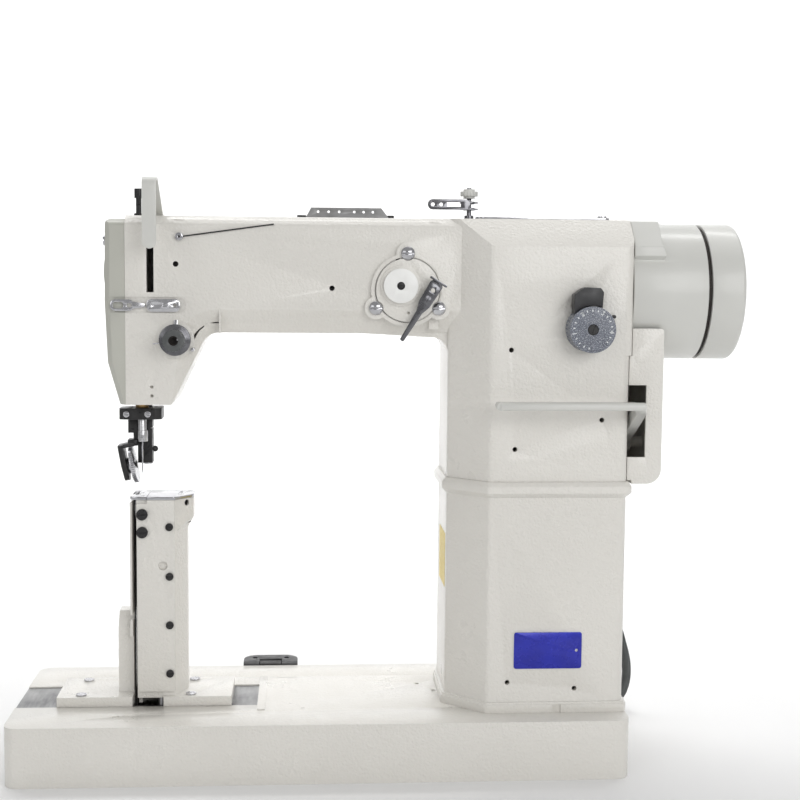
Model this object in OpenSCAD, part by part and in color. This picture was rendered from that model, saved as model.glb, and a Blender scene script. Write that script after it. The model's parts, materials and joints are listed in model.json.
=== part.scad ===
// Post-bed roller-foot sewing machine head with a direct-drive motor.
// Origin: centre of the bed's underside. +X towards the motor, +Y away from the sewer, +Z up.

/* [Bed] */
// Length of the bed
bed_l = 517; // [510:1:525]
// Width of the bed, front to back
bed_w = 178; // [176:1:180]
// Depth of the bed casting
bed_h = 50; // [50:1:54]
// Thickness of the bed's top plate
bed_plate = 8; // [7:0.5:9]
// Width of the groove that the post stands in
groove_w = 61; // [58:1:64]

/* [Column] */
// Left side of the column
col_l = 107; // [105:0.5:109]
// Right side of the column
col_r = 257; // [256:0.5:258]
// Front face of the column
col_f = -62; // [-63:0.5:-61]
// Back face of the column
col_b = 70; // [68:0.5:72]
// Height of the joint between the two column castings, above the bed
collar_z = 197; // [195:0.5:199]
// Wall thickness of the castings
wall = 7; // [6:0.5:8]

/* [Arm and head] */
// Height of the arm's top above the bed
arm_top = 416; // [415:0.5:417]
// Front face of the arm
arm_f = -40; // [-41:0.5:-39]
// Back face of the arm
arm_b = 44; // [43:0.5:46]
// Joint between the arm and the face plate
face_x = -162.5; // [-163:0.5:-162]
// Height of the head's lower end above the bed
head_z = 259; // [258:0.5:260]

/* [Shafts] */
// Height of the main shaft above the bed
main_z = 356; // [355.5:0.5:356.5]
// Radius of the main shaft
main_r = 9; // [8:0.5:10]
// Height of the lower shaft above the underside of the bed
low_z = 24; // [24:0.5:25]
// Running gap, on the radius, between a shaft and its bush
fit_gap = 0.04; // [0.02:0.01:0.08]
// Radius of the motor and the handwheel
motor_r = 58.5; // [57:0.5:59]
// Radius of both timing pulleys
pulley_r = 16; // [15:0.5:16]

/* [Needle and presser] */
// Needle bar, left to right
needle_x = -153; // [-153.2:0.1:-152.8]
// Needle bar, front to back
needle_y = -5; // [-5.5:0.5:-4.5]
// Radius of the needle bar
needle_bar_r = 3.6; // [3.5:0.1:3.6]
// Height of the needle's point above the bed, at the top of its stroke
needle_tip = 197; // [196:0.5:199]
// Presser bar, left to right
press_x = -149.5; // [-149.6:0.1:-149.2]
// Presser bar, front to back
press_y = 7; // [6.5:0.5:7.5]
// Radius of the presser bar
press_r = 3.9; // [3.8:0.1:4]

/* [Post] */
// Height of the top of the post's plates above the bed
post_top = 180; // [179:0.5:181]
// Hook shaft, left to right
hook_x = -136.8; // [-137:0.1:-136.6]
// Hook shaft and lower shaft, front to back
hook_y = -9; // [-9.5:0.5:-8.5]

/* [Cable] */
// Diameter of the cable loom
cable_d = 9; // [8:0.5:10]
// Middle radius of the outer turn of the cable coil
coil_r = 52; // [50:1:56]
// Turns in the coil
coil_turns = 2; // [2:1:2]

/* [Hidden] */
bt = bed_h;
cast = "ivory";
plastic = "beige";
steel = "silver";
black = "dimgray";
groove_y = -2.5;
hook_r = 15.5;
slot_x = -141.9;
slot_w = 6;
tension_x = -121;
tension_z = 313.5;
eye_x = -117.8;
eye_z = 398.6;
dial_x = 220.3;
dial_z = 325.3;
wind_x = 71.3;
wind_z = 356;
disc_x = 65.2;
disc_z = 359.5;
lever_x = 91.4;
lever_z = 355.9;
pin_y = 25;
pin_z = 375;
rev_z = 224;
under_z = 319;
// The head's slanting lower edge: its lower end, its slope, and the centre of the arc above it
slant_0 = [-124.8, head_z];
slant_in = unit([-0.896, 0.444]);
slant_c = [-85.7, 303];
slant_r = 16;
throw_r = 18;
// Right side of the upper column's flange that the motor is bolted to, and its lower end
flange_r = 259.3;
flange_z = 303;
roller_tilt = -11;
low_r = 6;
hinge_y = 97;
hinge_z = bed_h - 5;
feed_low_z = 9;
feed_shaft_r = 3.5;

// Middle line of the free cable: out of the gland, down beside the bed, back to the coil.
CABLE = [
    [225, 96, 190], [225, 104, 190], [228, 111, 187], [234, 115, 180], [241, 116, 170],
    [249, 115, 157], [257, 112, 143], [266, 107, 127], [275, 101, 110], [283, 95, 93],
    [289, 90, 76], [293, 87, 60], [295, 87, 45], [295, 90, 31], [293, 96, 18],
    [289, 105, 9], [283, 116, 5], [276, 128, 5], [269, 140, 5], [262, 152, 5],
    [258, 163, 5], [257, 175, 5]
];
coil_c = [205, 175];

// A corner of an outline, rounded with radius r: p is the corner, a and b are its neighbours.
function unit(v) = v / norm(v);
function corner(p, a, b, r, n) =
    let (u = unit(a - p), w = unit(b - p), half = acos(u * w) / 2)
    let (c = p + unit(u + w) * r / sin(half), sweep = 180 - 2 * half)
    let (s = p + u * r / tan(half) - c, e = p + w * r / tan(half) - c)
    [for (i = [0 : n]) c + (s * sin((1 - i / n) * sweep) + e * sin(i / n * sweep)) / sin(sweep)];
function xy(v) = [v.x, v.y];
// An outline from [x, y, corner radius] points
function rounded(v, n = 5) = [
    for (i = [0 : len(v) - 1])
        let (prev = v[(i + len(v) - 1) % len(v)], next = v[(i + 1) % len(v)])
        each (v[i].z == 0 ? [xy(v[i])] : corner(xy(v[i]), xy(prev), xy(next), v[i].z, n))
];
function box_points(x0, y0, x1, y1, r) = rounded([[x0, y0, r], [x1, y0, r], [x1, y1, r], [x0, y1, r]]);

// A closed tube of radius r swept along the points p, with n sides. No part of the path runs along `side`.
function tangent(p, i) = unit(p[min(i + 1, len(p) - 1)] - p[max(i - 1, 0)]);
function ring(c, t, r, n, side) =
    let (u = unit(cross(t, side)), w = cross(t, u))
    [for (k = [0 : n - 1]) c + r * (u * cos(360 * k / n) + w * sin(360 * k / n))];
module tube(p, r, n, side) {
    m = len(p);
    points = [for (i = [0 : m - 1]) each ring(p[i], tangent(p, i), r, n, side)];
    sides = [
        for (i = [0 : m - 2], k = [0 : n - 1])
            [i * n + k, (i + 1) * n + k, (i + 1) * n + (k + 1) % n, i * n + (k + 1) % n]
    ];
    ends = [[for (k = [0 : n - 1]) k], [for (k = [n - 1 : -1 : 0]) (m - 1) * n + k]];
    polyhedron(points, concat(sides, ends), convexity = 6);
}

// Bars and extrusions along one axis, between two positions on it
module xbar(x0, x1, r, y, z) translate([x0, y, z]) rotate([0, 90, 0]) cylinder(h = x1 - x0, r = r, $fn = 64);
module ybar(y0, y1, r, x, z) translate([x, y1, z]) rotate([90, 0, 0]) cylinder(h = y1 - y0, r = r, $fn = 64);
module zbar(z0, z1, r, x, y) translate([x, y, z0]) cylinder(h = z1 - z0, r = r, $fn = 64);
module along_x(x0, x1) translate([x0, 0, 0]) rotate([90, 0, 90]) linear_extrude(x1 - x0) children();
module along_y(y0, y1) translate([0, y1, 0]) rotate([90, 0, 0]) linear_extrude(y1 - y0) children();
module along_z(z0, z1) translate([0, 0, z0]) linear_extrude(z1 - z0) children();
module block(a, b) translate(a) cube(b - a);
module above_bed() translate([0, 0, bt]) children();

// A slotted screw head whose axis runs along -Y from y, at x and z
module head_y(x, y, z, r, h, slot = 1.2) difference() {
    ybar(y - h, y, r, x, z);
    block([x - r, y - h - 1, z - slot / 2], [x + r, y - h * 0.55, z + slot / 2]);
}
module head_z(x, y, z, r, h, slot = 1) difference() {
    zbar(z, z + h, r, x, y);
    block([x - r, y - slot / 2, z + h * 0.5], [x + r, y + slot / 2, z + h + 1]);
}

// ---- bed ----
// Centres of the screws that hold the post down
post_screws = [[-204, -25], [-111, -25], [-111, 19], [-204, 19]];
hinge_x = [-45.5, 186];
web_x = [-190, -100, 0, 96, 215];
shaft_web_x = [-100, 0, 96, 215];
module bed_casting() color(cast) {
    difference() {
        along_z(0, bt) polygon(box_points(-bed_l / 2, -bed_w / 2, bed_l / 2, bed_w / 2, 12));
        along_z(-1, bt - bed_plate)
            polygon(box_points(-bed_l / 2 + wall, -bed_w / 2 + wall, bed_l / 2 - wall, bed_w / 2 - wall, 6));
        block([-bed_l, groove_y - groove_w / 2, bt - 1.2], [-54, groove_y + groove_w / 2, bt + 1]);
        block([-162, -27, 0], [-118, 9.5, bt + 1]);
        block([125, -44, 0], [240, 52, bt + 1]);
        for (s = post_screws) zbar(0, bt + 1, 2.5, s.x, s.y);
        for (s = [[88, 25], [101, 4], [111, -46]]) zbar(0, bt + 1, 2, s.x, s.y);
        for (s = [[-210, 54], [-198, 52], [-169, -59], [-111, 40]]) zbar(bt - 5, bt + 1, 1.4, s.x, s.y);
    }
    block([-54, -48, bt - 1], [-47, 50, bt + 1]);
    difference() {
        for (x = web_x) block([x - 4, -bed_w / 2 + wall - 0.5, 0], [x + 4, bed_w / 2 - wall + 0.5, bt - bed_plate + 0.5]);
        xbar(-110, 250, 9, hook_y, low_z);
        xbar(-110, 110, 5.5, needle_y, feed_low_z);
    }
    for (x = hinge_x) hinge_lug(x);
}
// Lug on the bed's back edge that a hinge pin runs through
module hinge_lug(x) difference() {
    union() {
        xbar(x - 10, x + 10, 7, hinge_y, hinge_z);
        block([x - 10, bed_w / 2 - 1, hinge_z - 7], [x + 10, hinge_y, hinge_z + 3]);
    }
    xbar(x - 11, x + 11, 4 + fit_gap, hinge_y, hinge_z);
}
// Half-round hinge plates that lie on the table, with their pins
module bed_hinges() color(black) for (x = hinge_x) difference() {
    union() {
        difference() {
            union() {
                xbar(x - 25.5, x + 25.5, 7, hinge_y, hinge_z);
                along_z(hinge_z - 1, hinge_z + 7) polygon(rounded([
                    [x - 25.5, hinge_y, 0], [x + 25.5, hinge_y, 0], [x + 25.5, 119, 13], [x - 25.5, 119, 13]
                ]));
            }
            block([x - 10.6, hinge_y - 8, hinge_z - 8], [x + 10.6, hinge_y + 8, hinge_z + 8]);
        }
        xbar(x - 20, x + 20, 4, hinge_y, hinge_z);
    }
    for (dx = [-15, 15]) zbar(hinge_z - 8, hinge_z + 8, 2.5, x + dx, 109);
}

// ---- column ----
function column_points(g) = rounded([
    [col_l - g, -31 - g * 0.4, 6], [140 - g * 0.4, col_f - g, 6], [col_r + g, col_f - g, 7],
    [col_r + g, col_b + g, 7], [138 - g * 0.4, col_b + g, 6], [col_l - g, 40 + g * 0.4, 6]
], 4);
// Round bead under the joint between the two column castings
module column_bead() {
    top = collar_z - 0.1;
    hull() {
        along_z(top - 13.2, top - 12.6) polygon(column_points(0.4));
        along_z(top - 9.2, top - 9) polygon(column_points(4));
    }
    along_z(top - 9.1, top - 4) polygon(column_points(4));
    hull() {
        along_z(top - 4.1, top - 3.9) polygon(column_points(4));
        along_z(top - 0.5, top) polygon(column_points(1.2));
    }
}
module lower_column() color(cast) above_bed() difference() {
    union() {
        along_z(0, collar_z - 0.1) polygon(column_points(0));
        along_z(0, 7) polygon(column_points(3));
        along_z(7, 9) polygon(column_points(2));
        column_bead();
    }
    along_z(-1, collar_z + 1) polygon(column_points(-wall));
    ybar(col_b - wall - 1, col_b + 1, 6, CABLE[0].x, CABLE[0].z - bt);
    for (p = [[157.4, 25.7], [214.8, 20]]) ybar(col_f - 1, col_f + wall + 1, 2.1, p[0], p[1]);
    block([196, col_f - 4, -1], [203, col_f - 1.5, 7]);
}

// ---- arm, head and the top of the column: one casting ----
function arm_points(g) = rounded([
    [arm_f + g, arm_top - 7 - g / 2, 4], [arm_f + 9 + g, arm_top - g, 6], [arm_b - 8 - g, arm_top - g, 5],
    [arm_b - g, arm_top - 8 - g, 5], [arm_b - g, 339 + g / 2, 4], [arm_b - 13 - g, under_z + g, 3],
    [arm_f + 13 + g, under_z + g, 3], [arm_f + g, 339 + g / 2, 4]
], 4);
function head_points(g) = rounded([
    [face_x, head_z + g, 0], [-124.8 - g * 0.7, head_z + g, 1], [-95.6 - g * 0.6, under_z + g, 16],
    [-84, under_z + g, 0], [-84, arm_top - g, 0], [face_x, arm_top - g, 0]
], 8);
function flange_points(g) = rounded([
    [225, col_f + g, 0], [flange_r - g, col_f + g, 7], [flange_r - g, col_b - g, 7], [225, col_b - g, 0]
], 4);
module column_body(g) intersection() {
    union() {
        along_z(collar_z + (g == 0 ? 0 : -1), arm_top - g) polygon(column_points(-g));
        along_z(flange_z + g, arm_top - g) polygon(flange_points(g));
    }
    along_x(100, 262) polygon([
        [col_f - 5, collar_z - 2], [col_f - 5, 393 - g], [col_f, 393 - g], [arm_f + 2, arm_top - g],
        [col_b - 14, arm_top - g], [col_b, 402 - g], [col_b + 5, 402 - g], [col_b + 5, collar_z - 2]
    ]);
}
module arm_casting() color(cast) above_bed() {
    difference() {
        union() {
            column_body(0);
            along_x(-90, 125) polygon(arm_points(0));
            intersection() {
                along_y(arm_f - 5, arm_b + 5) polygon(head_points(0));
                along_x(face_x - 5, -50) polygon(head_section(0));
            }
            underside_fillet();
            winder_boss();
            ybar(arm_f - 3, arm_f + 2, 15.5, tension_x, tension_z);
        }
        for (side = [0, 1]) translate([0, side * (arm_f + arm_b), 0]) mirror([0, side, 0]) slant_bevel();
        column_body(wall);
        along_x(-95, 128) polygon(arm_points(wall));
        intersection() {
            along_y(arm_f - 5, arm_b + 5) difference() {
                polygon(head_points(wall));
                translate([-98, 200]) square([50, under_z + wall + 1 - 200]);
            }
            along_x(face_x - 6, -55) polygon(head_section(wall));
        }
        head_cuts();
        // openings and threaded holes
        block([137, -32, arm_top - wall - 1], [240, 44, arm_top + 1]);
        block([130, col_b - wall - 1, 215], [240, col_b + 1, 385]);
        ybar(arm_f - 1, arm_f + wall + 1, 2.2, 8.4, 357);
        ybar(arm_f - 1, arm_f + wall + 1, 2.3, -120.8, 376);
        ybar(arm_f - 6, arm_f + wall + 1, 4, disc_x, disc_z);
        for (p = [[156.7, 307.3], [160.9, 224.3], [233.8, 249.1]]) ybar(col_f - 1, col_f + wall + 1, 2.1, p[0], p[1]);
        ybar(col_f - 1, col_f + wall + 1, 4 + fit_gap, dial_x, dial_z);
        block([209.6, col_f - 1, 346.6], [224.4, col_f + 5.5, 355.4]);
        xbar(col_r - wall - 1, flange_r + 1, 20, 0, main_z);
    }
    difference() {
        inner_webs();
        xbar(-130, 260, 13, 0, main_z);
    }
    take_up_pin();
    dial_socket();
    xbar(col_r - 1, 283, 5, 0, rev_z);
}
// Section of the head across X: the arm's section at the top, plain below it
function head_section(g) = rounded([
    [arm_f + g, arm_top - 7 - g / 2, 4], [arm_f + 9 + g, arm_top - g, 6], [arm_b - 8 - g, arm_top - g, 5],
    [arm_b - g, arm_top - 8 - g, 5], [arm_b - g, 250, 0], [arm_f + g, 250, 0]
], 4);
// Bevel along the arc and the slanting edge, which runs out at the head's lower end
module slant_bevel() {
    deep = 13;
    high = 20;
    translate([slant_c.x, arm_f, slant_c.y]) rotate([-90, 0, 0]) rotate([0, 0, -155]) rotate_extrude(angle = 66, $fn = 96)
        polygon([[slant_r - 1, -1], [slant_r + high + 1.5, -1], [slant_r - 1, deep + 0.7]]);
    top = slant_c + slant_in * slant_r;
    function at(p, inward, y) = [p.x + slant_in.x * inward, y, p.y + slant_in.y * inward];
    low = slant_0 - unit(top - slant_0) * 3;
    up = top + unit(top - slant_0) * 0.5;
    polyhedron([
        at(low, -2, arm_f - 1), at(low, 0, arm_f - 1), at(low, -2, arm_f + 0.5),
        at(up, -1, arm_f - 1), at(up, high + 1.5, arm_f - 1), at(up, -1, arm_f + deep + 0.7)
    ], [[0, 2, 1], [3, 4, 5], [0, 1, 4, 3], [1, 2, 5, 4], [2, 0, 3, 5]]);
}
module underside_fillet() along_y(arm_f + 13, arm_b - 12) polygon(rounded([
    [36, under_z + 0.8, 0], [112, under_z + 0.8, 0], [112, 296, 0], [col_l + 0.2, 296, 0],
    [col_l + 0.2, 315.2, 13], [36, under_z, 0]
], 8));
module winder_boss() difference() {
    union() {
        ybar(arm_f - 4, arm_f + 2, 30.5, wind_x, wind_z);
        for (a = [90, 210, 330]) ybar(arm_f - 4, arm_f + 2, 9.5, wind_x + 30.3 * cos(a), wind_z + 30.3 * sin(a));
    }
    difference() {
        ybar(arm_f - 5, arm_f - 2.8, 27.4, wind_x, wind_z);
        ybar(arm_f - 6, arm_f - 2, 26.4, wind_x, wind_z);
    }
}
module head_cuts() {
    // take-up slot, open through the top edge
    block([slot_x - slot_w / 2, arm_f - 1, 352.5], [slot_x + slot_w / 2, arm_f + wall + 1, arm_top + 1]);
    block([slot_x - slot_w / 2, arm_f - 1, arm_top - wall - 4], [slot_x + slot_w / 2, arm_f + 16, arm_top + 1]);
    // shallow pad for the thread guides, with a round right end
    along_y(arm_f - 1, arm_f + 1) polygon(rounded([[face_x - 1, 335.5, 0], [-112.6, 335.5, 6], [-112.6, 348.5, 6], [face_x - 1, 348.5, 0]]));
    // openings in the head's lower end for the needle bar, presser bar and bushes
    zbar(head_z - 1, head_z + wall + 1, 5.6, needle_x, needle_y);
    zbar(head_z - 1, head_z + wall + 1, 5.6, press_x, press_y + 0.6);
    // needle bar top bush and pressure screw
    zbar(arm_top - wall - 1, arm_top + 1, 2.3 + fit_gap, -156, press_y);
    for (z = [266.5, 274]) ybar(arm_f - 1, arm_f + 4, 1.4, -141, z);
    ybar(arm_f - 4, arm_f + 4.5, 1.6, -106.8, 305.5);
    ybar(arm_f - 4, arm_f + 12, 4 + fit_gap, tension_x, tension_z);
    ybar(arm_f - 1, arm_f + 5, 1.5, eye_x, eye_z);
}
// Webs inside the casting that carry the main shaft
module inner_webs() {
    block([-122, arm_f + 4, 330], [-114, arm_b - 4, arm_top - 3]);
    block([90, arm_f + 4, 323], [98, arm_b - 4, arm_top - 3]);
}
module take_up_pin() {
    xbar(-145.4, -115, 4, pin_y, pin_z);
    xbar(-140.4, -115, 5, pin_y, pin_z);
}
module dial_socket() difference() {
    ybar(col_f + wall - 1, col_f + wall + 16, 9, dial_x, dial_z);
    ybar(col_f - 1, col_f + wall + 17, 4 + fit_gap, dial_x, dial_z);
}

// ---- covers ----
function face_points(g) = rounded([
    [face_x - 0.3, head_z, 0], [face_x - 0.3, arm_top - 3, 0], [-179 + g, arm_top - 3, 5],
    [-179.7 + g, 345, 8], [-177.5 + g, 294, 8], [-167.5 + g, head_z, 0.8]
]);
module face_plate() color(plastic) above_bed() difference() {
    union() {
        intersection() {
            union() {
                hull() {
                    along_y(arm_f + 0.5, arm_f + 0.6) polygon(face_points(4.4));
                    along_y(arm_f + 5, arm_f + 5.2) polygon(face_points(0));
                }
                along_y(arm_f + 5.1, arm_b - 5.1) polygon(face_points(0));
                hull() {
                    along_y(arm_b - 5.2, arm_b - 5) polygon(face_points(0));
                    along_y(arm_b - 0.6, arm_b - 0.5) polygon(face_points(4.4));
                }
            }
            along_x(-190, -150) polygon(rounded([
                [arm_f + 0.5, 250, 0], [arm_f + 0.5, arm_top - 7, 5], [arm_f + 9, arm_top - 3, 5],
                [arm_b - 9, arm_top - 3, 5], [arm_b - 0.5, arm_top - 10, 5], [arm_b - 0.5, 250, 0]
            ]));
        }
        xbar(-182.2, -177, 16, 0, 369);
        xbar(-183.2, -181, 13, 0, 369);
    }
    along_y(arm_f + 4.5, arm_b - 4.5) polygon([
        [-150, head_z - 5], [-150, arm_top - 7], [-174.4, arm_top - 7], [-175, 345], [-173, 294], [-164.6, head_z + 4],
        [-163.6, head_z - 5]
    ]);
    along_y(arm_f - 1, arm_f + 1.5) polygon(box_points(-190, 335.5, -150, 348.5, 0.5));
    for (p = [[-30, 395], [34, 395], [0, 280]]) xbar(-190, -170, 2.1, p[0], p[1]);
}
module column_top_cover() color(steel) above_bed() difference() {
    along_z(arm_top, arm_top + 1.8) polygon(box_points(132, -36, 243, 48, 5));
    for (p = [[137.5, 6], [237, -30], [237, 42]]) zbar(arm_top - 1, arm_top + 3, 2.2, p[0], p[1]);
}
module rear_cover() color(cast) above_bed() difference() {
    along_y(col_b, col_b + 3) polygon(box_points(124, 208, 246, 391, 8));
    for (x = [130, 240], z = [214, 385]) ybar(col_b - 1, col_b + 4, 2.2, x, z);
}
module belt_cover() color(cast) above_bed() difference() {
    along_y(-56, 56) polygon(rounded([
        [col_r + 0.5, 194.4, 0], [286.5, 194.4, 12], [286.5, 325.5, 3], [col_r + 0.5, 325.5, 0]
    ], 8));
    along_y(-53, 53) polygon(rounded([
        [col_r - 1, 197.4, 0], [283.5, 197.4, 9], [283.5, 340, 0], [col_r - 1, 340, 0]
    ], 8));
    along_z(180, collar_z + 0.4) polygon(column_points(4.5));
    block([col_r - 1, -57, flange_z - 0.5], [flange_r + 0.5, 57, 330]);
    xbar(col_r - 1, 300, motor_r + 0.6, 0, main_z);
    block([col_r - 1, -57, 217], [272.5, -50, 278]);
}
module motor_housing() color(plastic) above_bed() difference() {
    union() {
        xbar(flange_r + 0.4, 323.4, motor_r, 0, main_z);
        xbar(323, 326.3, motor_r - 1.6, 0, main_z);
        // connection box, whose slopes follow those of the column
        intersection() {
            along_x(flange_r + 0.4, 290) polygon(rounded([
                [-58.3, 386, 1], [-58.3, 393.6, 2], [-38, 415.5, 3], [38, 415.5, 3], [58.3, 393.6, 2], [58.3, 386, 1], [0, 356, 0]
            ]));
            along_y(-60, 60) polygon([[250, 340], [250, 420], [283.8, 420], [283.4, 396], [286.6, 387], [286.6, 340]]);
        }
    }
    xbar(263, 330, motor_r - 4.5, 0, main_z);
    xbar(col_r - 1, 270, main_r + 5, 0, main_z);
}
module take_up_guard() color(plastic) above_bed() difference() {
    along_x(-145.3, -134.1) polygon(rounded([
        [-66, 388, 0], [-63.8, 388, 0], [-63.8, 443.6, 6], [-49.6, 443.6, 4], [-5, arm_top, 4], [3.5, arm_top, 0],
        [3.5, arm_top + 2, 0], [-4.2, arm_top + 2, 3], [-48.9, 445.8, 6], [-66, 445.8, 8]
    ]));
    zbar(arm_top - 1, arm_top + 3, 1.5, -139.7, 0.5);
    // round lower end of the front leg
    along_y(-70, -60) difference() {
        translate([-147.7, 380]) square([16, 14]);
        translate([-139.7, 393.6]) circle(r = 5.6, $fn = 64);
    }
}

// ---- thread path ----
module thread_guides() color(steel) above_bed() {
    // slack guide with a slot and an eyelet, then the flat guide beside it
    difference() {
        along_y(arm_f - 1.6, arm_f + 1) union() {
            polygon(box_points(-174.5, 337, -155, 346.5, 4.5));
            polygon([[-158, 345], [-158, 338.5], [-146, 340.4], [-146, 343]]);
        }
        along_y(arm_f - 3, arm_f + 2) union() {
            polygon(box_points(-172.5, 339, -163.5, 344.5, 2.6));
            polygon(box_points(-161, 340, -156.5, 343.4, 1.6));
        }
    }
    difference() {
        along_y(arm_f - 2.4, arm_f + 1) polygon(box_points(-144.6, 336.6, -117.2, 347, 4));
        along_y(arm_f - 5, arm_f - 1.2) polygon(box_points(-141, 339.5, -131, 344, 2));
        ybar(arm_f - 3, arm_f + 2, 1.6, -121.5, 341.8);
    }
    head_y(-129, arm_f - 2.4, 341.8, 2.8, 1.5, 0.8);
    // eyelet with the fine wire that leads the thread to the top of the arm
    difference() {
        union() {
            ybar(arm_f - 3, arm_f, 3.2, eye_x, eye_z);
            ybar(arm_f - 1, arm_f + 3, 1.45, eye_x, eye_z);
        }
        ybar(arm_f - 4, arm_f + 4, 1, eye_x, eye_z);
    }
    tube([[eye_x + 2, arm_f - 1.6, eye_z], [-84, arm_f - 1.4, 403.2], [-40, arm_f - 0.6, 409.5]], 0.6, 12, [0, 0, 1]);
}
module rod(a, b, r) {
    d = b - a;
    translate(a) rotate([0, acos(d.z / norm(d)), atan2(d.y, d.x)]) cylinder(h = norm(d), r = r, $fn = 48);
}
// Tension stud, its stop pin and the check spring that is hooked on it
module tension_post() color(steel) above_bed() {
    difference() {
        union() {
            ybar(arm_f - 22, arm_f + 10, 4, tension_x, tension_z);
            ybar(arm_f - 5, arm_f - 3, 7, tension_x, tension_z);
            ybar(arm_f - 7, arm_f + 4, 1.5, -106.8, 305.5);
        }
        ybar(arm_f - 23, arm_f - 17, 2.9, tension_x, tension_z);
    }
    difference() {
        ybar(arm_f - 5, arm_f - 3.2, 10, tension_x, tension_z);
        ybar(arm_f - 6, arm_f - 2, 7.3, tension_x, tension_z);
    }
    rod([tension_x - 8.5, arm_f - 4.1, tension_z - 2], [-139.5, arm_f - 4.6, 310], 0.6);
    block([tension_x - 1, arm_f - 4.8, tension_z + 8.6], [tension_x + 2, arm_f - 3.6, 330]);
}
module tension_discs() color(black) above_bed() difference() {
    union() for (y = [arm_f - 9.6, arm_f - 7.4]) {
        ybar(y, y + 1, 13, tension_x, tension_z);
        ybar(y - 0.8, y + 1.8, 8, tension_x, tension_z);
    }
    ybar(arm_f - 12, arm_f - 4, 4 + fit_gap, tension_x, tension_z);
}
module top_thread_guide() color(steel) above_bed() difference() {
    union() {
        block([-22, -1, arm_top], [63, 20, arm_top + 1.2]);
        along_y(-1, 0.2) polygon([[-14, arm_top], [58.6, arm_top], [51.1, arm_top + 9.5], [-9, arm_top + 9.5]]);
    }
    for (x = [-3, 6, 15, 28, 36, 44]) ybar(-3, 2, 1.1, x, arm_top + 6);
    for (x = [-17, 59.4]) zbar(arm_top - 1, arm_top + 3, 2.1, x, 10);
}
module winder_tension_guide() color(steel) above_bed() {
    zbar(arm_top, arm_top + 27.5, 2, 127, 0);
    zbar(arm_top, arm_top + 1.5, 4.9, 127, 0);
    zbar(arm_top, arm_top + 4, 4, 127, 0);
    for (z = [arm_top + 9, arm_top + 14.4]) difference() {
        union() {
            zbar(z, z + 1, 8, 127, 0);
            zbar(z - 0.6, z + 1.6, 5, 127, 0);
        }
        zbar(z - 1, z + 2, 1.9, 127, 0);
    }
    difference() {
        along_y(-9.2, -8) polygon(box_points(90.6, arm_top + 8.6, 127, arm_top + 17.4, 4.3));
        for (x = [95, 102]) ybar(-10, -7, 1.6, x, arm_top + 13);
        block([107, -10, arm_top + 11], [119, -7, arm_top + 15]);
    }
    difference() {
        block([121, -9.2, arm_top + 8.6], [133, 0, arm_top + 9.6]);
        zbar(arm_top, arm_top + 12, 1.9, 127, 0);
    }
}
module winder_plate() color(cast) above_bed() difference() {
    union() {
        ybar(arm_f - 6.5, arm_f - 4, 26.4, wind_x, wind_z);
        ybar(arm_f - 8, arm_f - 4, 16.8, disc_x, disc_z);
        ybar(arm_f - 12, arm_f - 4, 3.6, lever_x, lever_z);
        ybar(arm_f - 16, arm_f - 11, 1.95, lever_x, lever_z);
    }
    ybar(arm_f - 9, arm_f - 2, 3.5 + fit_gap, disc_x, disc_z);
    ybar(arm_f - 8, arm_f - 2, 1.2, 72, 337);
    for (a = [90, 210, 330]) ybar(arm_f - 9, arm_f - 3, 5.9, wind_x + 30.3 * cos(a), wind_z + 30.3 * sin(a));
}

// ---- fasteners ----
module chrome_screws() color(steel) above_bed() {
    for (a = [90, 210, 330]) winder_screw(wind_x + 30.3 * cos(a), wind_z + 30.3 * sin(a));
    for (s = post_screws) head_z(s.x, s.y, 8, 4.5, 1.2);
    for (p = [[137.5, 6], [237, -30], [237, 42]]) head_z(p[0], p[1], arm_top + 1.8, 4, 1.6);
    for (x = [130, 240], z = [214, 385]) mirror([0, 1, 0]) head_y(x, -col_b - 3, z, 4.2, 2);
    for (p = [[-30, 395], [34, 395], [0, 280]]) face_screw(p[0], p[1]);
}
module winder_screw(x, z) difference() {
    intersection() {
        ybar(arm_f - 8.5, arm_f - 4, 5.8, x, z);
        translate([x, arm_f + 0.2, z]) sphere(r = 8.6, $fn = 64);
    }
    block([x - 7, arm_f - 10, z - 0.7], [x + 7, arm_f - 6.8, z + 0.7]);
}
module face_screw(y, z) difference() {
    x = z < 300 ? -174.4 : -179;
    xbar(x - 2, x + 1, 4.2, y, z);
    block([x - 3, y - 5, z - 0.6], [x - 1, y + 5, z + 0.6]);
}
post_small = [[-128.1, 154.5], [-128.1, 112], [-128.1, 70], [-128.1, 28]];
post_big = [[-150.8, 165.3], [-150.8, 150]];
module black_screws() color(black) above_bed() {
    for (p = post_small) head_y(p[0], -31, p[1], 3.3, 2);
    for (p = post_big) head_y(p[0], -31, p[1], 4.8, 2.5, 1.4);
    head_z(59.4, 10, arm_top + 1.2, 3.5, 2.4);
    head_z(-17, 10, arm_top + 1.2, 4, 2);
    head_z(-139.7, 0.5, arm_top + 2, 2.8, 2);
    ybar(col_f - 4, col_f - 0.1, 1.5, 241.6, 335.5);
}
module nameplate() color("mediumblue") above_bed() difference() {
    along_y(col_f - 0.9, col_f) polygon(box_points(162.6, 37.6, 220.4, 68.8, 2));
    ybar(col_f - 2, col_f + 1, 1.3, 216, 53.2);
}

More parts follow.
